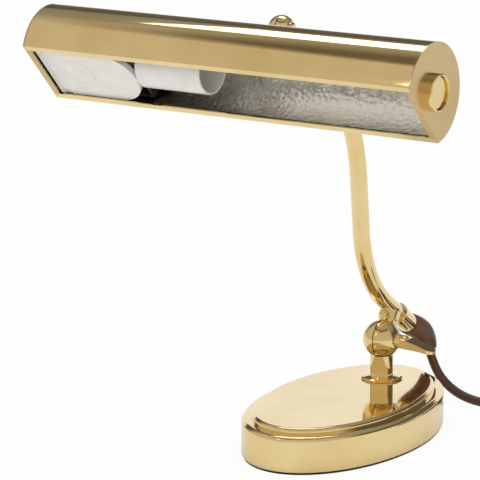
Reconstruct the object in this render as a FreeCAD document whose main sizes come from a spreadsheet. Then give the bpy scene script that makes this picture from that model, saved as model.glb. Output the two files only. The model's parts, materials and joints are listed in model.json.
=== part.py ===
import FreeCAD, Part
import math
import os
import Sketcher

V = FreeCAD.Vector

# Driving sizes in millimetres and degrees
sizes = {
    # base
    "baseHalfLong": 88.7,
    "baseHalfWide": 52.75,
    "feltThick": 1.6,
    "feltInset": 0.8,
    "plateThick": 1.2,
    "ringTop": 23.6,
    "ringRound": 3.0,
    "plateauHalfLong": 81.8,
    "plateauHalfWide": 46.4,
    "plateauTop": 27.4,
    "plateauRound": 2.4,
    "baseWall": 1.2,
    "weightInset": 1.7,
    "weightGap": 0.2,
    "weightRound": 3.0,
    "counterboreRound": 13.0,
    "counterboreDeep": 10.0,
    "plateScrewFront": -55.0,
    "plateScrewRear": 74.0,
    "plateScrewRound": 2.0,
    "plateScrewHead": 4.0,
    "plateScrewLong": 12.0,
    # stem
    "stemSet": 46.8,
    "stemRound": 5.0,
    "rodFoot": 5.0,
    "rodTop": 38.8,
    "flangeRound": 13.5,
    "flangeThick": 2.4,
    "washerRound": 11.0,
    "washerThick": 1.5,
    "nutAcross": 17.0,
    "nutThick": 5.0,
    # lower knuckle
    "ballHeight": 53.6,
    "ballRound": 12.3,
    "ballSeat": 0.4,
    "frictionThick": 0.6,
    "frictionRound": 10.0,
    "stemNeckRound": 7.5,
    "armNeckRound": 7.0,
    "armNeckLean": 35.0,
    "armNeckLong": 21.2,
    "armNeckGroove": 1.4,
    "spotFace": 11.3,
    "keyShankRound": 3.0,
    "keyShankDeep": 9.0,
    "keyHubRound": 4.5,
    "keyHubLong": 8.5,
    "keyLeafTip": 39.0,
    "keyLeafHalfWide": 5.0,
    # arm
    "tubeRound": 5.5,
    "tubeWall": 1.0,
    "tailSet": 80.4,
    "tailHeight": 56.5,
    "lowCornerSet": 22.8,
    "lowCornerHeight": 96.83,
    "lowBend": 74.0,
    "highCornerSet": 9.77,
    "highCornerHeight": 211.18,
    "highBend": 98.0,
    "tubeStop": 9.0,
    "ferruleRound": 6.7,
    "ferruleBead": 7.1,
    "ferruleLong": 17.6,
    "bootPlugRound": 4.4,
    "bootPlugLong": 8.0,
    "cordRound": 3.0,
    "bootAside": 7.8,
    "bootBehind": 15.4,
    "bootDrop": 19.5,
    "bootRound": 7.2,
    # upper knuckle
    "pivotSet": -76.8,
    "pivotHeight": 271.8,
    "smallBallRound": 8.0,
    "spigotLong": 8.0,
    "spigotBoreDeep": 7.0,
    "shadeNeckRound": 4.5,
    "threadRound": 4.0,
    "pivotShankRound": 2.2,
    "pivotHeadRound": 4.2,
    "collarRound": 9.0,
    "collarThick": 3.0,
    "lockNutAcross": 12.0,
    "lockNutOuter": 27.2,
    "lockNutInner": 25.3,
    # shade
    "shadeOut": 50.8,
    "shadeDrop": 18.7,
    "shadeTurn": 47.2,
    "shadeHalfLong": 130.5,
    "shadeRound": 29.0,
    "shadeWall": 0.8,
    "mouthDrop": 15.69,
    "hemEdge": 20.4,
    "capThick": 1.0,
    "capRimDeep": 6.0,
    "reflectorRound": 25.2,
    "reflectorWall": 0.5,
    "reflectorGap": 1.0,
    "reflectorTuck": 1.2,
    # terminal box
    "trayLong": 70.5,
    "trayHalfWide": 20.0,
    "trayFront": 10.4,
    "trayBack": 2.3,
    "trayWall": 1.5,
    "coverInset": 3.5,
    "coverLong": 44.0,
    "coverHalfWide": 21.5,
    "coverFront": 13.69,
    "coverWall": 1.6,
    "grooveInset": 2.7,
    "grooveWide": 5.3,
    "grooveDeep": 0.6,
    "plugReach": 24.3,
    "plugAside": -1.5,
    "plugRound": 10.2,
    # lampholder
    "sleeveRound": 14.8,
    "sleeveWall": 1.3,
    "sleeveLong": 45.0,
    "coreRound": 12.9,
    "coreLong": 23.0,
    "socketRound": 7.0,
    "socketWall": 0.7,
    # switch
    "switchAside": -2.0,
    "switchDrop": 0.5,
    "bezelRound": 10.75,
    "bezelHigh": 4.8,
    "bezelInner": 9.4,
    "bezelNeck": 6.0,
    "buttonRound": 9.1,
    "buttonSunk": 1.6,
    "buttonThick": 1.1,
    "buttonStem": 3.0,
    "switchInset": 1.9,
    "switchDeep": 7.3,
    "switchRound": 7.5,
    "springRoom": 4.8,
    "springRound": 3.2,
    "springWire": 0.25,
    # wires in the shade
    "wireRound": 0.9,
    "wireCircle": 26.7,
    "wireBend": 6.0,
    "wireSet": 4.0,
    "wireFrontInset": 5.7,
    "wireRearInset": 7.8,
    "supplyRound": 1.1,
    "supplyCircle": 18.5,
    # fits
    "runningFit": 0.08,
    "threadFit": 0.05,
    "looseFit": 0.3,
    # cord lying on the table
    "cordRest": 3.1,
    "dropLong": 15.6,
    "turnAside": 11.6,
    "turnBehind": 7.3,
    "turnHigh": 9.8,
    "layAside": 25.8,
    "layBehind": 9.4,
    "joinRun": 26.8,
    "entryRun": 6.0,
    "tailRun": 11.0,
    "plugRun": 13.5,
    "coilSet": 150.0,
    "coilAside": 84.0,
    "coilOuter": 46.5,
    "coilPitch": 6.65,
    "coilLayerTurns": 3.25,
    # plug
    "plugLong": 36.0,
    "plugHalfWide": 17.65,
    "plugHigh": 13.7,
    "plugEdge": 2.5,
    "plugNeckLong": 10.0,
    "plugNeckRound": 4.2,
    "plugFoot": 138.0,
    "plugLine": 100.0,
    "pinRound": 2.0,
    "pinRootRound": 1.6,
    "pinLong": 19.0,
    "pinSpacing": 18.6,
    "pinRooted": 9.0,
}


# A number that remembers the sheet cells it came from
class Size:
    def __init__(self, value, text):
        self.value = value
        self.text = text

    def __float__(self):
        return self.value

    def __neg__(self):
        return Size(-self.value, f"(0 - {self.text})")

    def __add__(self, other):
        other = asSize(other)
        return Size(self.value + other.value, f"({self.text} + {other.text})")

    def __sub__(self, other):
        other = asSize(other)
        return Size(self.value - other.value, f"({self.text} - {other.text})")

    def __mul__(self, other):
        other = asSize(other)
        return Size(self.value * other.value, f"({self.text} * {other.text})")

    def __truediv__(self, other):
        other = asSize(other)
        return Size(self.value / other.value, f"({self.text} / {other.text})")

    def __radd__(self, other):
        return asSize(other) + self

    def __rsub__(self, other):
        return asSize(other) - self

    def __rmul__(self, other):
        return asSize(other) * self


def asSize(number):
    return number if isinstance(number, Size) else Size(float(number), str(float(number)))


doc = FreeCAD.newDocument("pianoLamp")
sheet = doc.addObject("Spreadsheet::Sheet", "sizes")
for row, (name, value) in enumerate(sizes.items(), 1):
    sheet.set(f"A{row}", name)
    sheet.set(f"B{row}", str(value))
    sheet.setAlias(f"B{row}", name)
doc.recompute()


class Cells:
    def __getattr__(self, name):
        return Size(sizes[name], f"sizes.{name}")


s = Cells()
nodes = {}


def bind(thing, **wanted):
    for name, size in wanted.items():
        thing.setExpression(name, asSize(size).text)


def keep(node, thing):
    thing.Label = node
    nodes[node] = thing
    return thing


def shift(frame, x=0.0, y=0.0, z=0.0):
    return frame * FreeCAD.Placement(V(float(x), float(y), float(z)), FreeCAD.Rotation())


def cylinder(name, frame, radius, low, high):
    thing = doc.addObject("Part::Cylinder", name)
    bind(thing, Radius=radius, Height=high - low)
    thing.Placement = shift(frame, z=low)
    return thing


def cone(name, frame, lowRadius, highRadius, low, high):
    thing = doc.addObject("Part::Cone", name)
    bind(thing, Radius1=lowRadius, Radius2=highRadius, Height=high - low)
    thing.Placement = shift(frame, z=low)
    return thing


def block(name, frame, across, along, up):
    thing = doc.addObject("Part::Box", name)
    bind(thing, Length=across[1] - across[0], Width=along[1] - along[0], Height=up[1] - up[0])
    thing.Placement = shift(frame, across[0], along[0], up[0])
    return thing


def sphere(name, frame, radius):
    thing = doc.addObject("Part::Sphere", name)
    bind(thing, Radius=radius)
    thing.Placement = frame
    return thing


def cut(name, thing, *tools):
    for tool in tools:
        result = doc.addObject("Part::Cut", name)
        result.Base = thing
        result.Tool = tool
        thing = result
    return thing


def fuse(name, *parts):
    result = doc.addObject("Part::MultiFuse", name)
    result.Shapes = list(parts)
    result.Refine = True
    return result


def common(name, first, second):
    result = doc.addObject("Part::Common", name)
    result.Base = first
    result.Tool = second
    return result


def solid(name, shape):
    thing = doc.addObject("Part::Feature", name)
    thing.Shape = shape
    return thing


def newSketch(body, role, level=0.0):
    plane = next(part for part in body.Origin.OriginFeatures if part.Role == role)
    sketch = body.newObject("Sketcher::SketchObject", "outline")
    sketch.AttachmentSupport = [(plane, "")]
    sketch.MapMode = "FlatFace"
    sketch.setExpression("AttachmentOffset.Base.z", asSize(level).text)
    return sketch


def drawOutline(sketch, points):
    spots = [(asSize(x), asSize(y)) for x, y in points]
    count = len(spots)
    for corner, spot in enumerate(spots):
        after = spots[(corner + 1) % count]
        start = V(float(spot[0]), float(spot[1]), 0)
        sketch.addGeometry(Part.LineSegment(start, V(float(after[0]), float(after[1]), 0)))
    for corner in range(count):
        sketch.addConstraint(Sketcher.Constraint("Coincident", corner, 2, (corner + 1) % count, 1))
    for corner, spot in enumerate(spots):
        for kind, size in zip(("DistanceX", "DistanceY"), spot):
            index = sketch.addConstraint(Sketcher.Constraint(kind, corner, 1, float(size)))
            sketch.setExpression(f"Constraints[{index}]", size.text)


def addPad(body, sketch, height):
    pad = body.newObject("PartDesign::Pad", "pad")
    pad.Profile = sketch
    bind(pad, Length=height)
    return pad


# Piece turned about its own upright axis, from points of radius and height
def turned(name, frame, points):
    body = doc.addObject("PartDesign::Body", name)
    sketch = newSketch(body, "XZ_Plane")
    drawOutline(sketch, points)
    spin = body.newObject("PartDesign::Revolution", "spin")
    spin.Profile = sketch
    spin.ReferenceAxis = (sketch, ["V_Axis"])
    spin.Angle = 360
    body.Placement = frame
    return body


def prism(name, frame, points, low, high, role="XY_Plane"):
    body = doc.addObject("PartDesign::Body", name)
    sketch = newSketch(body, role, low)
    drawOutline(sketch, points)
    addPad(body, sketch, high - low)
    body.Placement = frame
    return body


def hexagon(across):
    reach = float(across) / math.sqrt(3)
    return [(reach * math.cos(math.radians(60 * k)), reach * math.sin(math.radians(60 * k))) for k in range(6)]


def drawOval(sketch, halfLong, halfWide):
    oval = Part.Ellipse(V(0, float(halfLong), 0), V(float(halfWide), 0, 0), V(0, 0, 0))
    edge = sketch.addGeometry(oval)
    sketch.exposeInternalGeometry(edge)
    sketch.addConstraint(Sketcher.Constraint("Coincident", edge, 3, -1, 1))
    sketch.addConstraint(Sketcher.Constraint("Vertical", 1))
    for axis, half in ((1, halfLong), (2, halfWide)):
        index = sketch.addConstraint(Sketcher.Constraint("Distance", axis, 2 * float(half)))
        sketch.setExpression(f"Constraints[{index}]", (2 * half).text)


# Stack of ovals, each with a rounded top edge
def ovalStack(name, layers):
    body = doc.addObject("PartDesign::Body", name)
    for halfLong, halfWide, low, high, edgeRound in layers:
        sketch = newSketch(body, "XY_Plane", low)
        drawOval(sketch, halfLong, halfWide)
        pad = addPad(body, sketch, high - low)
        if edgeRound is None:
            continue
        doc.recompute()
        top = []
        for number, edge in enumerate(pad.Shape.Edges, 1):
            box = edge.BoundBox
            if min(box.ZMin, box.ZMax) > float(high) - 0.01:
                top.append(f"Edge{number}")
        rounding = body.newObject("PartDesign::Fillet", "rounding")
        rounding.Base = (pad, top)
        bind(rounding, Radius=edgeRound)
    return body


world = FreeCAD.Placement()
alongX = FreeCAD.Rotation(V(0, 1, 0), 90)
far = 200.0

# Base: pressed shell with a ring and a raised plateau
baseFoot = s.feltThick
ringInner = s.ringTop - s.baseWall
baseOuter = ovalStack("baseOuter", [
    (s.baseHalfLong, s.baseHalfWide, baseFoot, s.ringTop, s.ringRound),
    (s.plateauHalfLong, s.plateauHalfWide, s.ringTop, s.plateauTop, s.plateauRound),
])
baseInner = ovalStack("baseInner", [
    (s.baseHalfLong - s.baseWall, s.baseHalfWide - s.baseWall, baseFoot, ringInner, s.ringRound - s.baseWall),
    (s.plateauHalfLong - s.baseWall, s.plateauHalfWide - s.baseWall, ringInner,
     s.plateauTop - s.baseWall, s.plateauRound - s.baseWall),
])
stemFrame = FreeCAD.Placement(V(0, float(s.stemSet), 0), FreeCAD.Rotation())
rodHole = cylinder("rodHole", stemFrame, s.stemRound + s.looseFit, asSize(0), s.plateauTop + 1)
keep("base_shell", cut("baseShell", baseOuter, baseInner, rodHole))

keep("felt_pad", ovalStack("felt", [
    (s.baseHalfLong - s.feltInset, s.baseHalfWide - s.feltInset, asSize(0), s.feltThick, None),
]))

# Bottom plate with two countersunk screws into the weight
plateTop = baseFoot + s.plateThick
plateRaw = ovalStack("plateRaw", [
    (s.baseHalfLong - s.baseWall - s.threadFit, s.baseHalfWide - s.baseWall - s.threadFit, baseFoot, plateTop, None),
])
weightTop = ringInner - s.weightGap
weightRaw = ovalStack("weightRaw", [
    (s.baseHalfLong - s.weightInset, s.baseHalfWide - s.weightInset, plateTop, weightTop, s.weightRound),
])
plateCuts = []
weightCuts = [
    cylinder("weightRodHole", stemFrame, s.stemRound + s.looseFit, asSize(0), s.plateauTop),
    cylinder("counterbore", stemFrame, s.counterboreRound, plateTop, plateTop + s.counterboreDeep),
]
screwTip = baseFoot + s.plateScrewLong
for node, place in (("plate_screw_front", s.plateScrewFront), ("plate_screw_rear", s.plateScrewRear)):
    frame = FreeCAD.Placement(V(0, float(place), 0), FreeCAD.Rotation())
    keep(node, turned(node, frame, [
        (0, baseFoot),
        (s.plateScrewHead, baseFoot),
        (s.plateScrewRound, plateTop),
        (s.plateScrewRound, screwTip),
        (0, screwTip),
    ]))
    fit = s.threadFit
    plateCuts.append(cone("countersink", frame, s.plateScrewHead + fit, s.plateScrewRound + fit, baseFoot, plateTop))
    weightCuts.append(cylinder("screwHole", frame, s.plateScrewRound + fit, asSize(0), screwTip + 1))
keep("base_plate", cut("plate", plateRaw, *plateCuts))
keep("base_weight", cut("weight", weightRaw, *weightCuts))

# Threaded stem rod, its nut and washer below and the flange above
rodBore = s.stemRound + s.threadFit
keep("stem_rod", turned("rod", stemFrame, [
    (0, s.rodFoot),
    (s.stemRound - 0.6, s.rodFoot),
    (s.stemRound, s.rodFoot + 0.6),
    (s.stemRound, s.rodTop - 0.6),
    (s.stemRound - 0.6, s.rodTop),
    (0, s.rodTop),
]))
washerTop = plateTop + s.counterboreDeep
washerFoot = washerTop - s.washerThick
keep("stem_washer", turned("washer", stemFrame, [
    (s.stemRound + s.looseFit, washerFoot),
    (s.washerRound, washerFoot),
    (s.washerRound, washerTop),
    (s.stemRound + s.looseFit, washerTop),
]))
nutRaw = prism("nutRaw", stemFrame, hexagon(s.nutAcross), washerFoot - s.nutThick, washerFoot)
keep("stem_nut", cut("nut", nutRaw, cylinder("nutBore", stemFrame, rodBore, asSize(0), washerTop)))
flangeTop = s.plateauTop + s.flangeThick
keep("stem_flange", turned("flange", stemFrame, [
    (rodBore, s.plateauTop),
    (s.flangeRound - 0.6, s.plateauTop),
    (s.flangeRound, s.plateauTop + 0.5),
    (s.flangeRound, s.plateauTop + 1.2),
    (s.flangeRound - 0.8, s.plateauTop + 1.7),
    (s.stemNeckRound + 1.2, flangeTop),
    (rodBore, flangeTop),
]))

# Lower knuckle: two half balls about a level axis
ball = V(0, float(s.stemSet), float(s.ballHeight))
ballFrame = FreeCAD.Placement(ball, FreeCAD.Rotation())
ballTurn = FreeCAD.Placement(ball, alongX)
seam = s.frictionThick / 2
shankHole = s.keyShankRound + s.runningFit
leftSide = block("leftSide", ballFrame, (-far, -seam), (-far, far), (-far, far))
rightSide = block("rightSide", ballFrame, (seam, far), (-far, far), (-far, far))
seatBall = sphere("seatBall", ballFrame, s.ballRound + s.ballSeat)
farLeft = block("farLeft", ballFrame, (-far, seam), (-far, far), (-far, far))
farRight = block("farRight", ballFrame, (-seam, far), (-far, far), (-far, far))

stemHalfBall = common("stemHalfBall", sphere("stemBall", ballFrame, s.ballRound), leftSide)
stemNeckRaw = cylinder("stemNeckRaw", stemFrame, s.stemNeckRound, flangeTop, s.ballHeight - 4)
stemNeck = cut("stemNeck", stemNeckRaw, common("stemSeat", seatBall, farRight))
stemHalfRaw = fuse("stemHalfRaw", stemHalfBall, stemNeck)
keep("knuckle_stem_half", cut(
    "stemHalf", stemHalfRaw,
    cylinder("rodBore", stemFrame, rodBore, asSize(0), s.rodTop + 0.2),
    cylinder("keyThread", ballTurn, s.keyShankRound + s.threadFit, -s.keyShankDeep - 1, asSize(0)),
))
keep("friction_washer", turned("friction", ballTurn, [
    (shankHole, -seam), (s.frictionRound, -seam), (s.frictionRound, seam), (shankHole, seam),
]))


# Straight runs joined by arcs that touch them at the given reach from each corner
def cornerArc(first, corner, last):
    half = (last - first).Length / 2
    turn = 2 * math.acos(min(1.0, half / (corner - first).Length))
    middle = (first + last) / 2
    bulge = (corner - middle).normalize() * half * math.tan(turn / 4)
    return Part.Arc(first, middle + bulge, last).toShape(), half / math.sin(turn / 2)


def routeEdges(points, reaches):
    edges = []
    radii = []
    start = points[0]
    for before, corner, after, reach in zip(points, points[1:], points[2:], reaches):
        first = corner + (before - corner).normalize() * reach
        last = corner + (after - corner).normalize() * reach
        arc, radius = cornerArc(first, corner, last)
        edges += [Part.LineSegment(start, first).toShape(), arc]
        radii.append(radius)
        start = last
    edges.append(Part.LineSegment(start, points[-1]).toShape())
    return edges, radii


def bendReach(before, corner, after, radius):
    turn = math.pi - (before - corner).getAngle(after - corner)
    return radius * math.tan(turn / 2)


def sweep(edges, radius):
    wire = Part.Wire(edges)
    first = wire.Edges[0]
    start = first.valueAt(first.FirstParameter)
    ring = Part.Circle(start, first.tangentAt(first.FirstParameter), float(radius))
    return wire.makePipeShell([Part.Wire(ring.toShape())], True, False)


# Arm: one tube with two bends in the plane of the stem
pivot = V(0, float(s.pivotSet), float(s.pivotHeight))
tail = V(0, float(s.tailSet), float(s.tailHeight))
lowCorner = V(0, float(s.lowCornerSet), float(s.lowCornerHeight))
highCorner = V(0, float(s.highCornerSet), float(s.highCornerHeight))
armDown = (highCorner - pivot).normalize()
tailOut = (tail - lowCorner).normalize()
tubeTop = pivot + armDown * float(s.tubeStop)
tubePoints = [tubeTop, highCorner, lowCorner, tail]
tubeReaches = [
    bendReach(tubeTop, highCorner, lowCorner, float(s.highBend)),
    bendReach(highCorner, lowCorner, tail, float(s.lowBend)),
]
tubeEdges = routeEdges(tubePoints, tubeReaches)[0]
tubeOuter = sweep(tubeEdges, s.tubeRound)
tubeBore = sweep(tubeEdges, s.tubeRound - s.tubeWall)
keep("arm_tube", solid("tube", tubeOuter.cut(tubeBore)))

# Arm half of the knuckle, with a neck saddled to the tube
armHalfBall = common("armHalfBall", sphere("armBall", ballFrame, s.ballRound), rightSide)
neckTurn = FreeCAD.Rotation(V(1, 0, 0), -float(s.armNeckLean))
grooveRound = s.armNeckRound - s.armNeckGroove
grooveTop = s.ballRound + 1
armNeckRaw = turned("armNeckRaw", FreeCAD.Placement(ball, neckTurn), [
    (0, 4),
    (grooveRound, 4),
    (grooveRound, grooveTop),
    (s.armNeckRound - 0.3, grooveTop),
    (s.armNeckRound, grooveTop + 0.3),
    (s.armNeckRound, s.armNeckLong - 1.6),
    (s.armNeckRound - 0.8, s.armNeckLong),
    (0, s.armNeckLong),
])
armNeck = cut("armNeck", armNeckRaw, common("armSeat", seatBall, farLeft))
armHalfRaw = fuse("armHalfRaw", armHalfBall, armNeck)
keep("knuckle_arm_half", cut(
    "armHalf", armHalfRaw,
    solid("tubeSaddle", tubeOuter),
    block("spotFace", ballFrame, (s.spotFace, far), (-far, far), (-far, far)),
    cylinder("shankBore", ballTurn, shankHole, asSize(0), s.ballRound + 1),
))

# Clamp key: threaded shank, hub and a leaf that droops to its tip
hubFoot = s.spotFace + 0.1
hubTop = hubFoot + s.keyHubLong
keyTurned = turned("keyTurned", ballTurn, [
    (0, -s.keyShankDeep),
    (s.keyShankRound - 0.5, -s.keyShankDeep),
    (s.keyShankRound, 0.5 - s.keyShankDeep),
    (s.keyShankRound, hubFoot),
    (s.keyHubRound, hubFoot),
    (s.keyHubRound, hubTop - 1.5),
    (s.keyHubRound - 1.5, hubTop),
    (0, hubTop),
])
leafSide = prism("leafSide", ballFrame, [
    (hubTop - 5, -2.9),
    (hubTop, -3.2),
    (s.keyLeafTip - 9, -3.5),
    (s.keyLeafTip, -4.6),
    (s.keyLeafTip, -2.8),
    (s.keyLeafTip - 9, 0.1),
    (hubTop, 2.4),
    (hubTop - 5, 2.9),
], -s.keyLeafHalfWide, s.keyLeafHalfWide, "XZ_Plane")
leafRound = fuse(
    "leafRound",
    block("leafRoot", ballFrame, (hubTop - 6, s.keyLeafTip - s.keyLeafHalfWide),
          (-s.keyLeafHalfWide, s.keyLeafHalfWide), (asSize(-9), asSize(9))),
    cylinder("leafEnd", shift(ballFrame, s.keyLeafTip - s.keyLeafHalfWide), s.keyLeafHalfWide, asSize(-9), asSize(9)),
)
keep("clamp_key", fuse("key", keyTurned, common("leaf", leafSide, leafRound)))

# Ferrule on the tail of the arm
tailFrame = FreeCAD.Placement(tail, FreeCAD.Rotation(V(0, 0, 1), tailOut))
ferruleStart = -s.ferruleLong
keep("arm_ferrule", turned("ferrule", tailFrame, [
    (s.tubeRound, ferruleStart),
    (s.ferruleRound, ferruleStart),
    (s.ferruleBead, ferruleStart + 0.5),
    (s.ferruleBead, ferruleStart + 2.2),
    (s.ferruleRound, ferruleStart + 2.7),
    (s.ferruleRound, -0.5),
    (s.ferruleRound - 0.5, 0),
    (s.tubeRound, 0),
]))

# Soft boot that turns the cord down behind the arm
bootReach = V(float(s.bootAside), float(s.bootBehind), -float(s.bootDrop))
bootEnd = tail + bootReach
bootHeading = V(0.15, 0.25, -0.955).normalize()
bootPath = Part.BSplineCurve()
bootPath.interpolate(
    Points=[tail] + [
        tail + V(bootReach.x * aside, bootReach.y * behind, bootReach.z * drop)
        for aside, behind, drop in ((0.34, 0.45, 0.2), (0.77, 0.79, 0.51), (1, 1, 1))
    ],
    InitialTangent=tailOut, FinalTangent=bootHeading,
)
bootRadii = [float(s.bootRound) * part for part in (1, 1.04, 1.03, 0.97, 0.87, 0.72)]
bootRings = []
for place, radius in enumerate(bootRadii):
    span = bootPath.LastParameter - bootPath.FirstParameter
    spot = bootPath.FirstParameter + span * place / (len(bootRadii) - 1)
    ring = Part.Circle(bootPath.value(spot), V(*bootPath.tangent(spot)[0]), radius)
    bootRings.append(Part.Wire(ring.toShape()))
bootSkin = Part.makeLoft(bootRings, True, False)
bootPlug = Part.makeCylinder(float(s.bootPlugRound), float(s.bootPlugLong), tail - tailOut * float(s.bootPlugLong), tailOut)
cordBore = s.cordRound + s.threadFit
bootEdge = bootPath.toShape()
bootHole = sweep([bootEdge], cordBore)
plugHole = Part.makeCylinder(float(cordBore), float(s.bootPlugLong), tail - tailOut * float(s.bootPlugLong), tailOut)
keep("cord_boot", solid("boot", bootSkin.fuse(bootPlug).cut(bootHole).cut(plugHole)))

# Cord inside the boot and the arm
leadTop = pivot + armDown * float(s.tubeStop + s.spigotLong - s.spigotBoreDeep + 0.3)
leadEdges = routeEdges([leadTop, highCorner, lowCorner, tail], tubeReaches)[0]
keep("arm_lead", solid("armLead", sweep(leadEdges + [bootEdge], s.cordRound)))

# Upper knuckle
pivotFrame = FreeCAD.Placement(pivot, FreeCAD.Rotation())
pivotTurn = FreeCAD.Placement(pivot, alongX)
pivotDown = FreeCAD.Placement(pivot, FreeCAD.Rotation(V(0, 0, 1), armDown))
shadeAxis = pivot - V(0, float(s.shadeOut), float(s.shadeDrop))
toShade = (shadeAxis - pivot).normalize()
neckReach = (shadeAxis - pivot).Length
neckFrame = FreeCAD.Placement(pivot, FreeCAD.Rotation(V(0, 0, 1), toShade))
smallSeat = sphere("smallSeat", pivotFrame, s.smallBallRound + s.ballSeat)
upLeft = block("upLeft", pivotFrame, (-far, -seam), (-far, far), (-far, far))
upRight = block("upRight", pivotFrame, (seam, far), (-far, far), (-far, far))
upFarLeft = block("upFarLeft", pivotFrame, (-far, seam), (-far, far), (-far, far))
upFarRight = block("upFarRight", pivotFrame, (-seam, far), (-far, far), (-far, far))
spigotRound = s.tubeRound - s.tubeWall - s.threadFit
spigotEnd = s.tubeStop + s.spigotLong

armUpperRaw = fuse(
    "armUpperRaw",
    common("upperArmBall", sphere("upperArmRaw", pivotFrame, s.smallBallRound), upLeft),
    cut("upperArmNeck", cylinder("upperArmBoss", pivotDown, s.tubeRound, asSize(4), s.tubeStop),
        common("upperArmSeat", smallSeat, upFarRight)),
    cylinder("spigot", pivotDown, spigotRound, s.tubeStop - 0.5, spigotEnd),
)
keep("upper_arm_half", cut(
    "upperArmHalf", armUpperRaw,
    cylinder("spigotBore", pivotDown, s.cordRound + 0.1, spigotEnd - s.spigotBoreDeep, spigotEnd + 1),
    cylinder("pivotThread", pivotTurn, s.pivotShankRound + s.threadFit, asSize(-6), asSize(0)),
))
keep("upper_washer", turned("upperWasher", pivotTurn, [
    (s.pivotShankRound + s.looseFit, -seam),
    (s.smallBallRound - 1.5, -seam),
    (s.smallBallRound - 1.5, seam),
    (s.pivotShankRound + s.looseFit, seam),
]))

collarFoot = neckReach - s.shadeRound
collarTop = collarFoot - s.collarThick
nutOuter = neckReach - s.lockNutOuter
nutInner = neckReach - s.lockNutInner
shadeUpperRaw = fuse(
    "shadeUpperRaw",
    common("upperShadeBall", sphere("upperShadeRaw", pivotFrame, s.smallBallRound), upRight),
    cut("upperShadeNeck", cylinder("upperShadeBoss", neckFrame, s.shadeNeckRound, asSize(4), collarTop),
        common("upperShadeSeat", smallSeat, upFarLeft)),
    cylinder("shadeThread", neckFrame, s.threadRound, collarTop - 0.5, nutInner),
)
headFoot = s.smallBallRound - 1.6
keep("upper_shade_half", cut(
    "upperShadeHalf", shadeUpperRaw,
    cylinder("pivotBore", pivotTurn, s.pivotShankRound + s.runningFit, asSize(0), s.smallBallRound),
    block("headSeat", pivotFrame, (headFoot, far), (-far, far), (-far, far)),
    cylinder("wireBore", neckFrame, asSize(1.6), s.smallBallRound + 1, nutInner + 1),
))
keep("pivot_screw", turned("pivotScrew", pivotTurn, [
    (0, -5.5),
    (s.pivotShankRound, -5.5),
    (s.pivotShankRound, headFoot),
    (s.pivotHeadRound, headFoot),
    (s.pivotHeadRound, headFoot + 1.2),
    (s.pivotHeadRound - 1.2, headFoot + 2.2),
    (0, headFoot + 2.2),
]))

# Shade frame: across the mouth, away from the mouth, along the shade
mouthTurn = math.radians(float(s.shadeTurn))
across = V(0, math.sin(math.radians(90) - mouthTurn), -math.sin(mouthTurn))
inward = V(0, math.sin(mouthTurn), math.cos(mouthTurn))
shadeFrame = FreeCAD.Placement(shadeAxis, FreeCAD.Rotation(across, inward, V(1, 0, 0), "XYZ"))
shadeOuter = cylinder("shadeSolid", shadeFrame, s.shadeRound, -s.shadeHalfLong, s.shadeHalfLong)
collarRaw = cylinder("collarRaw", neckFrame, s.collarRound, collarTop, collarFoot + 3)
keep("neck_collar", cut(
    "collar", collarRaw, shadeOuter, cylinder("collarBore", neckFrame, s.threadRound + s.threadFit, asSize(0), nutInner),
))
lockNutRaw = prism("lockNutRaw", neckFrame, hexagon(s.lockNutAcross), nutOuter, nutInner)
keep("lock_nut", cut(
    "lockNut", lockNutRaw, cylinder("lockNutBore", neckFrame, s.threadRound + s.threadFit, asSize(0), nutInner + 1),
))

# Shade shell with turned-in lips
below = -s.mouthDrop
hemTop = below + s.shadeWall
shellCavity = common(
    "shellCavity",
    cylinder("shellInner", shadeFrame, s.shadeRound - s.shadeWall, -s.shadeHalfLong, s.shadeHalfLong),
    block("aboveHem", shadeFrame, (-far, far), (hemTop, far), (-far, far)),
)
mouth = block("mouth", shadeFrame, (-far, far), (-far, below), (-far, far))
slot = block("slot", shadeFrame, (-s.hemEdge, s.hemEdge), (-far, hemTop), (-far, far))
keep("shade_shell", cut(
    "shadeShell", shadeOuter, shellCavity, mouth, slot,
    cylinder("neckHole", neckFrame, s.threadRound + 0.1, collarTop, neckReach - 10),
))

# Hammered reflector, tucked behind the lips
switchFrame = shift(shadeFrame, s.switchAside, -s.switchDrop)
holderBack = s.trayLong - s.shadeHalfLong
reflectorEnd = s.shadeHalfLong - s.reflectorGap
reflectorCavity = cylinder(
    "reflectorInner", shadeFrame, s.reflectorRound - s.reflectorWall, holderBack - 1, reflectorEnd + 1)
leadSpots = {}
for node, angle, inset in (
    ("switch_lead_front", 66.0, s.wireFrontInset), ("switch_lead_rear", 60.0, s.wireRearInset),
):
    spot = math.radians(angle)
    outward = V(0, math.cos(spot), math.sin(spot))
    leadSpots[node] = (V(outward.dot(across), outward.dot(inward), 0), float(s.shadeHalfLong - inset))
wireBack = float(holderBack - s.wireSet)
reflectorCuts = [
    reflectorCavity,
    block("reflectorMouth", shadeFrame, (-far, far), (-far, below + s.reflectorTuck), (-far, far)),
    cylinder("nutRoom", neckFrame, s.lockNutAcross / 2 + 1, collarTop, neckReach - 10),
]
for outward, entry in leadSpots.values():
    place = FreeCAD.Placement(V(0, 0, entry - 2), FreeCAD.Rotation(V(0, 0, 1), outward))
    reflectorCuts.append(cylinder("leadHole", shadeFrame * place, asSize(2.5), s.reflectorRound - 5.2, s.reflectorRound + 1.8))
reflectorRaw = cylinder("reflectorRaw", shadeFrame, s.reflectorRound, holderBack, reflectorEnd)
keep("reflector", cut("reflector", reflectorRaw, *reflectorCuts))


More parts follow.
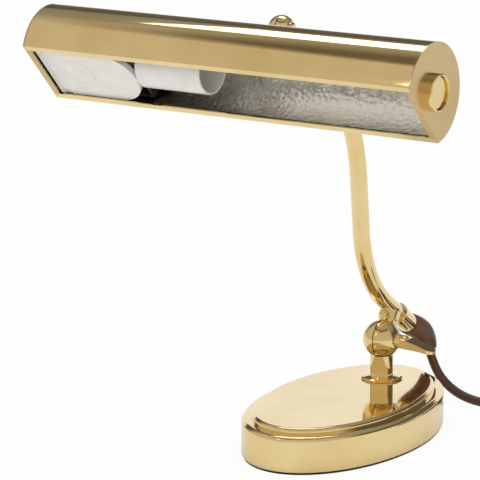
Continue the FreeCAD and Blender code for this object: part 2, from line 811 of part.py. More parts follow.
# End caps: a segment with an inner rim and a flange along the mouth
def endCap(name, low, high, rimLow, rimHigh):
    rimOuter = s.shadeRound - s.shadeWall - 0.1
    rim = cut(
        "rim",
        cylinder("rimRaw", shadeFrame, rimOuter, rimLow, rimHigh),
        cylinder("rimInner", shadeFrame, rimOuter - s.shadeWall, rimLow - 1, rimHigh + 1),
        block("rimMouth", shadeFrame, (-far, far), (-far, hemTop + 0.5), (-far, far)),
    )
    disc = cut(
        "disc",
        cylinder("discRaw", shadeFrame, s.shadeRound, low, high),
        block("discMouth", shadeFrame, (-far, far), (-far, below), (-far, far)),
    )
    edge = s.hemEdge - 0.2
    middle = (rimLow + rimHigh) / 2
    near = (middle, rimHigh) if float(rimHigh) == float(low) else (rimLow, middle)
    flange = block("flange", shadeFrame, (-edge, edge), (below, hemTop), near)
    return fuse(name, disc, rim, flange)


capInner = s.shadeHalfLong
capOuter = capInner + s.capThick
leftCap = endCap("leftCap", -capOuter, -capInner, -capInner, -capInner + s.capRimDeep)
keep("shade_cap_left", leftCap)
rightCap = endCap("rightCap", capInner, capOuter, capInner - s.capRimDeep, capInner)
neckPass = cylinder("neckPass", switchFrame, s.bezelNeck + 0.1, capInner - 10, capOuter + 1)
keep("shade_cap_right", cut("capRight", rightCap, neckPass))

# Switch in the right cap
bezelFoot = capOuter
bezelTop = bezelFoot + s.bezelHigh
stemBore = s.buttonStem + s.runningFit
switchFace = s.shadeHalfLong - s.switchInset
switchBack = switchFace - s.switchDeep
keep("switch_bezel", turned("bezel", switchFrame, [
    (stemBore, switchFace),
    (s.bezelNeck, switchFace),
    (s.bezelNeck, bezelFoot),
    (s.bezelRound, bezelFoot),
    (s.bezelRound, bezelTop - 0.6),
    (s.bezelRound - 0.6, bezelTop),
    (s.bezelInner + 0.3, bezelTop),
    (s.bezelInner, bezelTop - 0.3),
    (s.bezelInner, bezelFoot + 0.5),
    (stemBore, bezelFoot + 0.5),
]))
switchNutRaw = prism("switchNutRaw", switchFrame, hexagon(15.0), switchFace + 0.1, capInner)
keep("switch_nut", cut(
    "switchNut", switchNutRaw, cylinder("switchNutBore", switchFrame, s.bezelNeck + s.threadFit, switchFace - 1, capOuter),
))
cavityFoot = switchBack + 1.7
keep("switch_body", cut(
    "switchBody", cylinder("switchBodyRaw", switchFrame, s.switchRound, switchBack, switchFace),
    cylinder("springRoom", switchFrame, s.springRoom, cavityFoot, switchFace + 1),
))
buttonTop = bezelTop - s.buttonSunk
buttonFoot = buttonTop - s.buttonThick
shoulderTop = switchFace - 0.05
shoulderFoot = shoulderTop - 1.1
keep("switch_button", turned("button", switchFrame, [
    (0, shoulderFoot),
    (s.springRoom - 0.4, shoulderFoot),
    (s.springRoom - 0.4, shoulderTop),
    (s.buttonStem, shoulderTop),
    (s.buttonStem, buttonFoot),
    (s.buttonRound - 0.3, buttonFoot),
    (s.buttonRound, buttonFoot + 0.3),
    (s.buttonRound, buttonTop - 0.3),
    (s.buttonRound - 0.3, buttonTop),
    (0, buttonTop),
]))
springWire = float(s.springWire)
springRound = float(s.springRound)
springHigh = float(shoulderFoot - cavityFoot) - 2 * springWire - 0.1
springPath = Part.makeHelix(springHigh / 3, springHigh, springRound)
springRise = springHigh / 3 / (2 * math.pi * springRound)
springRing = Part.Wire(Part.Circle(V(springRound, 0, 0), V(0, 1, springRise), springWire).toShape())
spring = solid("spring", springPath.makePipeShell([springRing], True, False))
spring.Placement = shift(switchFrame, z=float(cavityFoot) + springWire + 0.05)
keep("switch_spring", spring)

# Terminal tray and its cover
trayLeft = -s.shadeHalfLong
trayRight = holderBack
trayRaw = block("trayRaw", shadeFrame, (-s.trayHalfWide, s.trayHalfWide), (-s.trayFront, s.trayBack), (trayLeft, trayRight))
trayRoom = block(
    "trayRoom", shadeFrame,
    (s.trayWall - s.trayHalfWide, s.trayHalfWide - s.trayWall),
    (-s.trayFront - 1, s.trayBack - s.trayWall),
    (trayLeft + s.trayWall, trayRight - s.trayWall),
)
coverLeft = s.coverInset - s.shadeHalfLong
coverCentre = coverLeft + s.coverLong
plugFrame = shadeFrame * FreeCAD.Placement(
    V(float(s.plugAside), 0, float(coverLeft + s.plugReach)), FreeCAD.Rotation(V(0, 0, 1), V(0, -1, 0)))
coverUnder = s.coverFront - s.coverWall
post = cylinder("post", plugFrame, asSize(3.2), s.trayWall - s.trayBack - 0.5, s.trayFront - 0.1)
supplyOut = V((-toShade).dot(across), (-toShade).dot(inward), 0)
trayHoles = []
entries = [(supplyOut, s.supplyCircle, s.supplyRound)]
entries += [(outward, s.wireCircle, s.wireRound) for outward, entry in leadSpots.values()]
for outward, circle, radius in entries:
    hole = shadeFrame * FreeCAD.Placement(V(outward.x * float(circle), 0, wireBack), FreeCAD.Rotation(V(0, 0, 1), V(0, 1, 0)))
    trayHoles.append(cylinder("entry", hole, radius + 0.25, asSize(0), s.trayBack + 1))
keep("terminal_tray", cut(
    "tray", fuse("trayBody", cut("trayBox", trayRaw, trayRoom), post), *trayHoles,
    cylinder("postHole", plugFrame, asSize(1.5), asSize(0.5), s.trayFront + 1),
))


def coverShape(name, inset, front, back):
    half = s.coverHalfWide - inset
    turnOut = shadeFrame * FreeCAD.Placement(V(0, 0, float(coverCentre)), FreeCAD.Rotation(V(0, 0, 1), V(0, -1, 0)))
    return fuse(
        name,
        block(name + "Flat", shadeFrame, (-half, half), (-front, -back), (coverLeft + inset, coverCentre)),
        cylinder(name + "End", turnOut, half, back, front),
    )


plugSeat = s.coverFront - 0.8
keep("terminal_cover", cut(
    "cover",
    coverShape("coverOuter", asSize(0), s.coverFront, s.trayFront),
    coverShape("coverInner", s.coverWall, coverUnder, s.trayFront - 1),
    block("groove", shadeFrame, (-far, far), (-far, s.grooveDeep - s.coverFront), (coverLeft + s.grooveInset, coverLeft + s.grooveInset + s.grooveWide)),
    cylinder("plugRoom", plugFrame, s.plugRound + s.threadFit, plugSeat, s.coverFront + 1),
    cone("screwRoom", plugFrame, asSize(1.5), asSize(2.7), coverUnder - 0.3, plugSeat),
))
keep("cover_plug", turned("plug", plugFrame, [
    (0, plugSeat + 0.02),
    (s.plugRound, plugSeat + 0.02),
    (s.plugRound, s.coverFront + 0.1),
    (s.plugRound - 1.4, s.coverFront + 0.6),
    (0, s.coverFront + 0.6),
]))
keep("cover_screw", turned("coverScrew", plugFrame, [
    (0, 1.5),
    (1.45, 1.5),
    (1.45, coverUnder - 0.3),
    (2.6, plugSeat - 0.05),
    (0, plugSeat - 0.05),
]))

# Terminal block on the floor of the tray
blockFoot = s.trayWall - s.trayBack
blockTop = blockFoot + 8
terminalSet = float(holderBack) - 16
trayOut = shadeFrame * FreeCAD.Placement(V(0, 0, terminalSet), FreeCAD.Rotation(V(0, 0, 1), V(0, -1, 0)))
terminalRaw = block("terminalRaw", trayOut, (asSize(-8), asSize(8)), (asSize(-9), asSize(9)), (blockFoot, blockTop))
terminalCuts = []
for node, place in (("terminal_screw_front", -4.0), ("terminal_screw_rear", 4.0)):
    frame = shift(trayOut, place)
    terminalCuts.append(cylinder("terminalHole", frame, asSize(1.3), blockTop - 6, blockTop + 1))
    keep(node, turned(node, frame, [
        (0, blockTop - 5), (1.25, blockTop - 5), (1.25, blockTop), (2.2, blockTop), (2.2, blockTop + 1.1), (0, blockTop + 1.1),
    ]))
keep("terminal_block", cut("terminal", terminalRaw, *terminalCuts))

# Lampholder: sleeve, core, threaded shell and centre contact
sleeveInner = s.sleeveRound - s.sleeveWall
sleeveMouth = holderBack + s.sleeveLong
coreMouth = holderBack + s.coreLong
keep("holder_sleeve", turned("sleeve", shadeFrame, [
    (sleeveInner, holderBack),
    (s.sleeveRound, holderBack),
    (s.sleeveRound, sleeveMouth - 0.3),
    (s.sleeveRound - 0.3, sleeveMouth),
    (sleeveInner + 0.3, sleeveMouth),
    (sleeveInner, sleeveMouth - 0.3),
]))
shellOuter = s.socketRound + s.socketWall
coreFloor = holderBack + 4
keep("holder_core", turned("core", shadeFrame, [
    (0, holderBack),
    (sleeveInner - s.threadFit, holderBack),
    (sleeveInner - s.threadFit, holderBack + 3),
    (s.coreRound, holderBack + 3),
    (s.coreRound, coreMouth),
    (shellOuter + s.threadFit, coreMouth),
    (shellOuter + s.threadFit, coreFloor),
    (0, coreFloor),
]))
shellFoot = coreFloor + 2.6
keep("thread_shell", turned("threadShell", shadeFrame, [
    (s.socketRound, shellFoot),
    (shellOuter, shellFoot),
    (shellOuter, coreMouth - 0.8),
    (s.socketRound, coreMouth - 0.8),
]))
keep("centre_contact", turned("contact", shadeFrame, [
    (0, coreFloor), (2.6, coreFloor), (2.6, coreFloor + 0.8), (1.2, coreFloor + 2.2), (0, coreFloor + 2.2),
]))


# Wires in the shade, each in the shade's own frame
def innerWire(node, outward, circle, radius, start, trayEnd):
    corner = V(outward.x * circle, outward.y * circle, start.z)
    drop = V(outward.x * circle, outward.y * circle, wireBack)
    points = [start, corner, drop, V(drop.x, trayEnd, wireBack)]
    edges, radii = routeEdges(points, [float(s.wireBend)] * 2)
    wire = solid(node, sweep(edges, radius))
    wire.Placement = shadeFrame
    return keep(node, wire)


trayEnd = float(s.trayBack - s.trayWall) - 1.5
innerWire("supply_lead", supplyOut, float(s.supplyCircle), s.supplyRound, supplyOut * float(s.lockNutInner - 0.1), trayEnd)
for node, (outward, entry) in leadSpots.items():
    leadEndSpot = outward * (float(s.switchRound) + 0.9)
    innerWire(node, outward, float(s.wireCircle), s.wireRound, V(leadEndSpot.x, leadEndSpot.y, entry), trayEnd)


# Free cord: hand-chosen points, arcs reaching 0.45 of the shorter run
def cordRoute(node, points):
    runs = [(after - before).Length for before, after in zip(points, points[1:])]
    reaches = [0.45 * min(pair) for pair in zip(runs, runs[1:])]
    edges, radii = routeEdges(points, reaches)
    tube = sweep(edges, s.cordRound)
    length = sum(edge.Length for edge in edges)
    full = length * math.pi * float(s.cordRound) ** 2
    print(node, "runs", [round(run, 1) for run in runs], "radii", [round(radius, 1) for radius in radii])
    print(node, "length", round(length, 1), "volume ratio", round(tube.Volume / full, 4))
    return keep(node, solid(node, tube)), edges


rest = float(s.cordRest)
coilFront = float(s.coilSet - s.coilOuter)
coilEntry = V(float(s.coilAside), coilFront, rest)
leadEnd = coilEntry - V(float(s.entryRun), 0, 0)
cordRoute("cord_lead", [
    bootEnd,
    bootEnd + bootHeading * float(s.dropLong),
    V(bootEnd.x + float(s.turnAside), bootEnd.y + float(s.turnBehind), float(s.turnHigh)),
    V(bootEnd.x + float(s.layAside), bootEnd.y + float(s.layBehind), rest),
    V(float(s.coilAside - s.joinRun), coilFront, rest),
    leadEnd,
])

# Coil in two layers: in along the table, up in a half turn, out again on top
layerAngle = 2 * math.pi * float(s.coilLayerTurns)
growth = float(s.coilPitch) / (2 * math.pi)
inner = float(s.coilOuter) - growth * layerAngle


def coilSpot(angle):
    if angle < layerAngle:
        radius, level = float(s.coilOuter) - growth * angle, 0.0
    elif angle < layerAngle + math.pi:
        climb = angle - layerAngle
        part = climb / math.pi
        radius, level = inner - growth * (climb - climb * part), part * part * (3 - 2 * part)
    else:
        radius, level = inner + growth * (angle - layerAngle - math.pi), 1.0
    turn = angle - math.pi / 2
    centre = V(float(s.coilAside), float(s.coilSet), rest + level * float(s.coilPitch))
    return centre + V(radius * math.cos(turn), radius * math.sin(turn), 0)


def coilHeading(angle):
    step = 1e-4
    return (coilSpot(angle + step) - coilSpot(angle - step)).normalize()


def coilEdges():
    edges = []
    wholeAngle = 2 * layerAngle + math.pi
    steps = round(wholeAngle / (math.pi / 2))
    ends = [wholeAngle * step / steps for step in range(steps + 1)]
    spots = [coilSpot(angle) for angle in ends]
    headings = [coilHeading(angle) for angle in ends]
    headings[0] = V(1, 0, 0)
    headings[-1] = V(1, 0, 0)
    edges.append(Part.LineSegment(leadEnd, spots[0]).toShape())
    for first, last, out, home in zip(spots, spots[1:], headings, headings[1:]):
        span = last - first
        both = out + home
        slack = 1 - out.dot(home)
        along = span.dot(both)
        reach = (math.sqrt(along * along + 2 * slack * span.dot(span)) - along) / (2 * slack)
        outCorner = first + out * reach
        homeCorner = last - home * reach
        joint = (outCorner + homeCorner) / 2
        edges.append(cornerArc(first, outCorner, joint)[0])
        edges.append(cornerArc(joint, homeCorner, last)[0])
    tailStart = spots[-1] + V(float(s.entryRun), 0, 0)
    edges.append(Part.LineSegment(spots[-1], tailStart).toShape())
    spread = [coilSpot(wholeAngle * step / 400) for step in range(401)]
    gap = min(
        (spread[i] - spread[j]).Length
        for i in range(401) for j in range(i + 30, 401)
    ) - 2 * float(s.cordRound)
    print("coil least gap", round(gap, 3), "tightest turn", round(inner - growth * math.pi / 4, 1))
    return edges, tailStart


coilPath, tailStart = coilEdges()
coilTube = sweep(coilPath, s.cordRound)
coilLength = sum(edge.Length for edge in coilPath)
coilFull = coilLength * math.pi * float(s.cordRound) ** 2
print("cord_coil length", round(coilLength, 1), "volume ratio", round(coilTube.Volume / coilFull, 4))
keep("cord_coil", solid("coil", coilTube))

plugMiddle = float(s.plugHigh) / 2
plugEntry = V(float(s.plugFoot - s.plugNeckLong), float(s.plugLine), plugMiddle)
cordRoute("cord_tail", [
    tailStart,
    tailStart + V(float(s.tailRun), 0, 0),
    plugEntry - V(float(s.plugRun), 0, 0),
    plugEntry,
])

# Flat two-pin plug lying on the table
plugPlace = FreeCAD.Placement(V(float(s.plugFoot), float(s.plugLine), 0), FreeCAD.Rotation())
plugEnd = s.plugLong
waist = s.plugHalfWide
plugBlock = prism("plugBlock", plugPlace, [
    (0, -waist * 0.5), (0, waist * 0.5), (8, waist * 0.85), (18, waist), (plugEnd, waist),
    (plugEnd, -waist), (18, -waist), (8, -waist * 0.85),
], asSize(0), s.plugHigh)
doc.recompute()
plugRounding = plugBlock.newObject("PartDesign::Fillet", "plugRounding")
plugPad = plugBlock.Group[1]
flatEdges = []
for number, edge in enumerate(plugPad.Shape.Edges, 1):
    if edge.BoundBox.ZLength < 0.01:
        flatEdges.append(f"Edge{number}")
plugRounding.Base = (plugPad, flatEdges)
bind(plugRounding, Radius=s.plugEdge)
plugCable = FreeCAD.Placement(V(float(s.plugFoot), float(s.plugLine), plugMiddle), alongX)
plugNeck = cone("plugNeck", plugCable, s.plugNeckRound, s.plugNeckRound + 1.2, -s.plugNeckLong, asSize(3))
plugRaw = fuse("plugRaw", plugBlock, plugNeck)
pinCuts = []
for node, side in (("plug_pin_front", -1), ("plug_pin_rear", 1)):
    frame = plugPlace * FreeCAD.Placement(
        V(float(plugEnd), side * float(s.pinSpacing) / 2, plugMiddle), alongX)
    pinCuts.append(cylinder("pinHole", frame, s.pinRootRound + s.threadFit, -s.pinRooted, asSize(1)))
    keep(node, turned(node, frame, [
        (0, -s.pinRooted),
        (s.pinRootRound, -s.pinRooted),
        (s.pinRootRound, s.runningFit),
        (s.pinRound, s.runningFit),
        (s.pinRound, s.pinLong - 1.2),
        (s.pinRound - 0.9, s.pinLong),
        (0, s.pinLong),
    ]))
keep("plug_body", cut("plugBody", plugRaw, *pinCuts))

doc.recompute()
problems = []
for thing in doc.Objects:
    if {"Invalid", "Error"} & set(thing.State):
        problems.append(f"{thing.Name} {thing.State}")
for node, thing in nodes.items():
    if thing.Shape.isNull() or not thing.Shape.isValid() or not thing.Shape.Solids:
        problems.append(f"{node} has no valid shape")
    elif len(thing.Shape.Solids) != 1:
        problems.append(f"{node} has {len(thing.Shape.Solids)} solids")
if problems:
    raise RuntimeError("; ".join(problems))
os.makedirs("parts", exist_ok=True)
for node, thing in nodes.items():
    thing.Shape.exportStep(f"parts/{node}.step")
print(len(nodes), "pieces written")
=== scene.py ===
import bpy
import json
import math
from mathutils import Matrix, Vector


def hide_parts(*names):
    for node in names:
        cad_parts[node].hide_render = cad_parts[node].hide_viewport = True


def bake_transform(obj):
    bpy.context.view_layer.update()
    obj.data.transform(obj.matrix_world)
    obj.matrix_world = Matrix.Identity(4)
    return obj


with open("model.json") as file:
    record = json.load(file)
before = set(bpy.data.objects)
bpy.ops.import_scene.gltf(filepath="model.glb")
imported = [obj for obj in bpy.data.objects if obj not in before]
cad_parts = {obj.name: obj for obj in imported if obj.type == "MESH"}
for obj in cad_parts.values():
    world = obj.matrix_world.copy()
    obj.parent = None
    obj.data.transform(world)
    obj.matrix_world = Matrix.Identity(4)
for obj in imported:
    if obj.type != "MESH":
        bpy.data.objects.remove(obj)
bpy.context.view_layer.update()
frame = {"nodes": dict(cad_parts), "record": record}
nodes = frame["nodes"]
print("frame loaded,", len(nodes), "nodes")
mm = 0.001


# sRGB hex colour to linear red, green, blue
def linear(code):
    channels = [int(code[i:i + 2], 16) / 255 for i in (1, 3, 5)]
    return [c / 12.92 if c <= 0.04045 else ((c + 0.055) / 1.055) ** 2.4 for c in channels]


def newMaterial(name):
    material = bpy.data.materials.new(name)
    material.use_nodes = True
    return material


# Adds a node; keys are its own settings or its input sockets, and a socket as value makes a link
def addNode(material, kind, **wanted):
    tree = material.node_tree
    node = tree.nodes.new(kind)
    for key, value in wanted.items():
        if hasattr(node, key):
            setattr(node, key, value)
            continue
        place = int(key[1:]) if key[0] == "i" and key[1:].isdigit() else key.replace("_", " ")
        if isinstance(value, bpy.types.NodeSocket):
            tree.links.new(value, node.inputs[place])
        else:
            node.inputs[place].default_value = value
    return node


def shaderOf(material):
    return material.node_tree.nodes["Principled BSDF"]


def setShader(material, colour=None, **wanted):
    shader = shaderOf(material)
    if colour:
        shader.inputs["Base Color"].default_value = (*linear(colour), 1)
    for key, value in wanted.items():
        socket = shader.inputs[key.replace("_", " ")]
        if isinstance(value, bpy.types.NodeSocket):
            material.node_tree.links.new(value, socket)
        else:
            socket.default_value = value


def objectPlace(material):
    return addNode(material, "ShaderNodeTexCoord").outputs["Object"]


# Grain or bloom of a moulded or extruded surface, of a real size in millimetres
def fineGrain(material, size, depth):
    fine = addNode(material, "ShaderNodeTexNoise", Vector=objectPlace(material),
                   Scale=1 / (size * mm), Detail=2.0)
    bumpOf(material, fine.outputs["Fac"], depth)


# Two shades of one colour, mixed by a noise pattern of a real size in millimetres
def mottle(material, low, high, size, detail=3.0):
    noise = addNode(material, "ShaderNodeTexNoise", Vector=objectPlace(material),
                    Scale=1 / (size * mm), Detail=detail, Roughness=0.55)
    ramp = addNode(material, "ShaderNodeValToRGB", Fac=noise.outputs["Fac"])
    for spot, (place, colour) in zip(ramp.color_ramp.elements, ((0.35, low), (0.65, high))):
        spot.position = place
        spot.color = (*linear(colour), 1)
    setShader(material, Base_Color=ramp.outputs["Color"])
    return noise


def roughRange(material, source, low, high):
    spread = addNode(material, "ShaderNodeMapRange", Value=source, To_Min=low, To_Max=high)
    setShader(material, Roughness=spread.outputs["Result"])


def bumpOf(material, height, depth):
    bump = addNode(material, "ShaderNodeBump", Height=height, Distance=depth * mm, Strength=1.0)
    setShader(material, Normal=bump.outputs["Normal"])


# Brass sheet and castings, buffed on a wheel and lacquered: near-mirror with soft waves left by the buffing
def polishedBrass():
    look = {"low": "#EACF90", "high": "#F3DBA1", "patch": 45.0, "wave": 16.0, "waveDeep": 0.012,
            "rough": (0.04, 0.09)}
    material = newMaterial("polishedBrass")
    setShader(material, Metallic=1.0, Coat_Weight=0.6, Coat_Roughness=0.05)
    patches = mottle(material, look["low"], look["high"], look["patch"])
    roughRange(material, patches.outputs["Fac"], *look["rough"])
    waves = addNode(material, "ShaderNodeTexNoise", Vector=objectPlace(material),
                    Scale=1 / (look["wave"] * mm), Detail=1.0)
    bumpOf(material, waves.outputs["Fac"], look["waveDeep"])
    return material


# Brass discs, wiped rather than buffed, so they mirror less than the shell
def satinBrass():
    look = {"low": "#CDB180", "high": "#D8BD8E", "patch": 30.0, "rough": (0.16, 0.26)}
    material = newMaterial("satinBrass")
    setShader(material, Metallic=1.0)
    patches = mottle(material, look["low"], look["high"], look["patch"])
    roughRange(material, patches.outputs["Fac"], *look["rough"])
    return material


# Zinc-plated turned steel, with fine lathe marks too small to show
def platedSteel():
    material = newMaterial("platedSteel")
    setShader(material, Metallic=1.0)
    patches = mottle(material, "#9C9FA1", "#B4B6B7", 8.0)
    roughRange(material, patches.outputs["Fac"], 0.25, 0.4)
    return material


# Grey iron, cast in sand, with grains of about a millimetre
def castIron():
    material = newMaterial("castIron")
    setShader(material, Metallic=0.8)
    grains = mottle(material, "#3A3A3B", "#545455", 1.2)
    roughRange(material, grains.outputs["Fac"], 0.55, 0.75)
    bumpOf(material, grains.outputs["Fac"], 0.2)
    return material


# Needled wool felt: fuzzy dark fibres, drawn 0.6 mm wide, coarser than real ones, so that they show
def woolFelt():
    material = newMaterial("woolFelt")
    setShader(material, Roughness=0.95, Sheen_Weight=0.4, Sheen_Roughness=0.5, Specular_IOR_Level=0.2)
    fibres = mottle(material, "#141312", "#2A2826", 0.6, 6.0)
    bumpOf(material, fibres.outputs["Fac"], 0.15)
    return material


# Thin aluminium, hammered by rollers into shallow dents about 2.8 mm wide
def hammeredAluminium():
    look = {"low": "#EDEAE4", "high": "#F8F6F1", "dent": 2.8, "dentDeep": 0.3, "rough": (0.22, 0.34)}
    material = newMaterial("hammeredAluminium")
    setShader(material, Metallic=1.0)
    tone = mottle(material, look["low"], look["high"], 12.0)
    roughRange(material, tone.outputs["Fac"], *look["rough"])
    dents = addNode(material, "ShaderNodeTexVoronoi", Vector=objectPlace(material), feature="SMOOTH_F1",
                    Scale=1 / (look["dent"] * mm), Smoothness=0.35, Randomness=0.9)
    bumpOf(material, dents.outputs["Distance"], look["dentDeep"])
    return material


# Urea or polycarbonate, moulded in a polished tool: soft gloss and a faint flow mottle
def mouldedPlastic(name, low, high, rough=(0.28, 0.4), grain=0.0):
    material = newMaterial(name)
    setShader(material, IOR=1.5)
    tone = mottle(material, low, high, 14.0)
    roughRange(material, tone.outputs["Fac"], *rough)
    if grain:
        fineGrain(material, 0.5, grain)
    return material


# Extruded flexible PVC, satin, with a slight matt bloom
def softPvc(name, low, high, rough=(0.38, 0.5)):
    material = newMaterial(name)
    setShader(material, IOR=1.53)
    tone = mottle(material, low, high, 9.0)
    roughRange(material, tone.outputs["Fac"], *rough)
    fineGrain(material, 0.7, 0.02)
    return material


# Vulcanised fibre: matt, with short fibres showing
def pressedFibre():
    material = newMaterial("pressedFibre")
    fibres = mottle(material, "#7D7A75", "#96938D", 1.0, 6.0)
    roughRange(material, fibres.outputs["Fac"], 0.7, 0.85)
    bumpOf(material, fibres.outputs["Fac"], 0.05)
    return material


# Bright nickel plate over brass: a hard near-mirror
def nickelPlate():
    material = newMaterial("nickelPlate")
    setShader(material, Metallic=1.0)
    tone = mottle(material, "#C6C2BC", "#D6D3CE", 10.0)
    roughRange(material, tone.outputs["Fac"], 0.1, 0.18)
    return material


finishes = {
    "polished_brass": polishedBrass(),
    "cap_brass": satinBrass(),
    "steel": platedSteel(),
    "iron": castIron(),
    "felt": woolFelt(),
    "hammered_aluminium": hammeredAluminium(),
    "white_plastic": mouldedPlastic("ureaWhite", "#E9E8E3", "#F2F1ED"),
    "black_plastic": mouldedPlastic("phenolicBlack", "#1B1918", "#272422", (0.35, 0.5)),
    "brown_rubber": softPvc("softRubberBrown", "#5E3B27", "#704A33"),
    "brown_cord": softPvc("cordPvcBrown", "#4A2C1C", "#583624", (0.32, 0.45)),
    "brown_plug": mouldedPlastic("plugPvcBrown", "#432819", "#4F301F", (0.35, 0.5), 0.03),
    "grey_fibre": pressedFibre(),
    "wire_insulation": softPvc("wirePvc", "#B9B6AE", "#C9C6BF"),
    "nickel": nickelPlate(),
}
for part in frame["record"]["subparts"]:
    node = nodes[part["node"]]
    node.data.materials.clear()
    node.data.materials.append(finishes[part["material_slot"]])
print("materials set")

# Free cord: the route of the CAD, in millimetres, then the coil in two layers
cordSizes = {
    "round": 3.0,
    "lead": [(7.8, 95.8, 37.0), (10.14, 99.71, 22.08), (19.4, 103.1, 9.8), (33.6, 105.2, 3.1),
             (57.2, 103.5, 3.1), (78.0, 103.5, 3.1)],
    "coilCentre": (84.0, 150.0, 3.1),
    "coilOuter": 46.5,
    "coilPitch": 6.65,
    "layerTurns": 3.25,
    "pointsPerTurn": 24,
    "tail": [(90.0, 103.5, 9.75), (101.0, 103.5, 9.75), (114.5, 100.0, 6.85), (128.0, 100.0, 6.85)],
}


def coilPoints(c):
    layer = 2 * math.pi * c["layerTurns"]
    growth = c["coilPitch"] / (2 * math.pi)
    inner = c["coilOuter"] - growth * layer
    whole = 2 * layer + math.pi
    steps = round(whole / (2 * math.pi) * c["pointsPerTurn"])
    points = []
    for step in range(steps + 1):
        angle = whole * step / steps
        if angle < layer:
            radius, level = c["coilOuter"] - growth * angle, 0.0
        elif angle < layer + math.pi:
            climb = angle - layer
            part = climb / math.pi
            radius, level = inner - growth * (climb - climb * part), part * part * (3 - 2 * part)
        else:
            radius, level = inner + growth * (angle - layer - math.pi), 1.0
        turn = angle - math.pi / 2
        x, y, z = c["coilCentre"]
        points.append((x + radius * math.cos(turn), y + radius * math.sin(turn), z + level * c["coilPitch"]))
    return points


# One smooth curve, read back as points and as a round tube
def makeCord(c):
    line = bpy.data.curves.new("cordLine", "CURVE")
    line.dimensions = "3D"
    line.resolution_u = 6
    spline = line.splines.new("NURBS")
    points = c["lead"] + coilPoints(c) + c["tail"]
    spline.points.add(len(points) - 1)
    for spot, place in zip(spline.points, points):
        spot.co = (*(mm * value for value in place), 1)
    spline.order_u = 3
    spline.use_endpoint_u = True
    carrier = bpy.data.objects.new("cordLine", line)
    bpy.context.scene.collection.objects.link(carrier)
    bare = bpy.data.meshes.new_from_object(carrier)
    path = [tuple(spot.co) for spot in bare.vertices]
    line.bevel_depth = c["round"] * mm
    line.bevel_resolution = 5
    line.use_fill_caps = True
    cord = bpy.data.objects.new("freeCord", bpy.data.meshes.new_from_object(carrier))
    bpy.context.scene.collection.objects.link(cord)
    bpy.data.objects.remove(carrier)
    cord.data.materials.clear()
    cord.data.materials.append(finishes["brown_cord"])
    return cord, path


freeCord, cordPath = makeCord(cordSizes)
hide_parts("cord_lead", "cord_coil", "cord_tail")
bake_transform(freeCord)
print("cord laid")

# Floor, sky and lamps
stageSizes = {
    "floorHalf": 6.0,
    "floorColour": "#E4E2DE",
    "floorToCamera": 0.94,
    "floorToMirror": 0.2,
    "diffuseSky": 1.0,
    "card": {"place": (-0.41, 0.69), "turn": 0.541, "wide": 1.3, "high": 0.36, "glow": 0.95},
    "softbox": {"place": (-0.2275, 0.275, 0.88), "size": (0.555, 0.33), "power": 1.4,
                "aim": (-0.2275, 0.275, 0.0)},
    "frontBox": {"place": (-0.20, -0.76, 0.61), "size": (0.08, 0.14), "power": 0.08,
                 "aim": (0.1, -0.15, 0.26)},
    "roomInFront": [(0.0, "#D0CAC2"), (0.80, "#CEC7BC"), (0.84, "#6E675C"), (0.88, "#6A645B"),
                    (0.93, "#A9A59E")],
    "roomBehind": [(0.04, "#E6E4E0"), (0.10, "#6E6A64"), (0.50, "#5A5752"), (0.58, "#8C8A86"),
                   (0.95, "#A9A59E")],
    "roomBlend": (-0.05, 0.25),
}


def combine(material, kind, first, second):
    return addNode(material, "ShaderNodeMath", operation=kind, i0=first, i1=second).outputs[0]


# Share of the glow that the camera, and mirrors and clear pieces, get to see
def addRays(material, cameraShare, mirrorShare):
    rays = addNode(material, "ShaderNodeLightPath").outputs
    seen = combine(material, "MULTIPLY", rays["Is Camera Ray"], cameraShare)
    glossy = combine(material, "MULTIPLY", rays["Is Glossy Ray"], mirrorShare)
    clear = combine(material, "MULTIPLY", rays["Is Transmission Ray"], mirrorShare)
    return combine(material, "ADD", combine(material, "ADD", seen, glossy), clear)


# Painted paper sweep, shown near white to the camera
def makeFloor(c):
    bpy.ops.object.select_all(action="DESELECT")
    bpy.ops.mesh.primitive_plane_add(size=2 * c["floorHalf"])
    floor = bpy.context.object
    floor.name = "floor"
    paper = newMaterial("paperSweep")
    setShader(paper, c["floorColour"], Roughness=0.9, Specular_IOR_Level=0.1)
    glow = addNode(paper, "ShaderNodeEmission", Color=(1, 1, 1, 1), Strength=1.0)
    mix = addNode(paper, "ShaderNodeMixShader", Fac=addRays(paper, c["floorToCamera"], c["floorToMirror"]),
                  i1=shaderOf(paper).outputs["BSDF"], i2=glow.outputs["Emission"])
    paper.node_tree.links.new(mix.outputs[0], paper.node_tree.nodes["Material Output"].inputs["Surface"])
    floor.data.materials.append(paper)


# White card behind the lamp, seen only in its mirror surfaces
def makeCard(c):
    bpy.ops.object.select_all(action="DESELECT")
    bpy.ops.mesh.primitive_plane_add(size=1, location=(*c["place"], c["high"] / 2),
                                     rotation=(math.pi / 2, 0, c["turn"]))
    card = bpy.context.object
    card.name = "whiteCard"
    card.scale = (c["wide"], c["high"], 1)
    bpy.ops.object.transform_apply(location=True, rotation=True, scale=True)
    board = newMaterial("whiteCardboard")
    rays = addNode(board, "ShaderNodeLightPath")
    clear = addNode(board, "ShaderNodeBsdfTransparent")
    glow = addNode(board, "ShaderNodeEmission", Color=(1, 1, 1, 1), Strength=c["glow"])
    mix = addNode(board, "ShaderNodeMixShader", Fac=rays.outputs["Is Glossy Ray"],
                  i1=clear.outputs[0], i2=glow.outputs[0])
    board.node_tree.links.new(mix.outputs[0], board.node_tree.nodes["Material Output"].inputs["Surface"])
    card.data.materials.append(board)


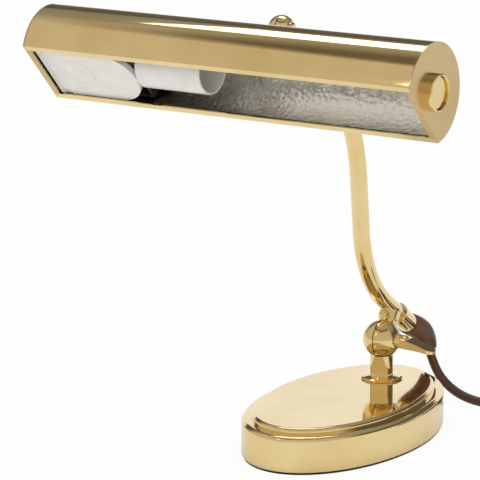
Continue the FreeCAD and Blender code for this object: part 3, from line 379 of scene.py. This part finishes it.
# Studio room: grey in front, a low white backdrop behind with a dark gap above it
def makeSky(c):
    world = bpy.data.worlds.new("studio")
    bpy.context.scene.world = world
    world.use_nodes = True
    place = addNode(world, "ShaderNodeTexCoord")
    parts = addNode(world, "ShaderNodeSeparateXYZ", Vector=place.outputs["Generated"])
    ramps = []
    for stops in (c["roomInFront"], c["roomBehind"]):
        ramp = addNode(world, "ShaderNodeValToRGB", Fac=parts.outputs["Z"])
        spots = ramp.color_ramp.elements
        while len(spots) < len(stops):
            spots.new(0.5)
        for spot, (height, colour) in zip(spots, stops):
            spot.position = height
            spot.color = (*linear(colour), 1)
        ramps.append(ramp.outputs["Color"])
    start, end = c["roomBlend"]
    behind = addNode(world, "ShaderNodeMapRange", Value=parts.outputs["Y"], From_Min=start, From_Max=end)
    sky = addNode(world, "ShaderNodeMix", data_type="RGBA", i0=behind.outputs["Result"],
                  i6=ramps[0], i7=ramps[1])
    room = world.node_tree.nodes["Background"]
    world.node_tree.links.new(sky.outputs[2], room.inputs["Color"])
    white = addNode(world, "ShaderNodeBackground", Color=(1, 1, 1, 1), Strength=c["diffuseSky"])
    rays = addNode(world, "ShaderNodeLightPath")
    mix = addNode(world, "ShaderNodeMixShader", Fac=rays.outputs["Is Glossy Ray"],
                  i1=white.outputs[0], i2=room.outputs[0])
    world.node_tree.links.new(mix.outputs[0], world.node_tree.nodes["World Output"].inputs["Surface"])


def addLamp(name, place, size, power, aim):
    lamp = bpy.data.lights.new(name, "AREA")
    lamp.shape = "RECTANGLE"
    lamp.size, lamp.size_y = size
    lamp.energy = power
    holder = bpy.data.objects.new(name, lamp)
    bpy.context.scene.collection.objects.link(holder)
    holder.location = place
    holder.rotation_euler = (Vector(aim) - Vector(place)).to_track_quat("-Z", "Y").to_euler()


makeFloor(stageSizes)
makeCard(stageSizes["card"])
makeSky(stageSizes)
addLamp("softbox", **stageSizes["softbox"])
addLamp("frontBox", **stageSizes["frontBox"])
print("stage and lamps set")

# Camera at the photograph's place
cameraSizes = {"place": (0.83805, -1.41520, 0.51674), "aim": (-0.05557, -0.036, 0.12825), "lens": 202.46,
               "sensorWide": 36, "reach": 50}
lens = bpy.data.cameras.new("camera")
lens.lens = cameraSizes["lens"]
lens.sensor_fit = "HORIZONTAL"
lens.sensor_width = cameraSizes["sensorWide"]
lens.clip_end = cameraSizes["reach"]
camera = bpy.data.objects.new("camera", lens)
bpy.context.scene.collection.objects.link(camera)
camera.location = cameraSizes["place"]
camera.rotation_euler = (Vector(cameraSizes["aim"]) - camera.location).to_track_quat("-Z", "Y").to_euler()
bpy.context.scene.camera = camera
bpy.context.scene.view_settings.view_transform = "Standard"
print("camera set")
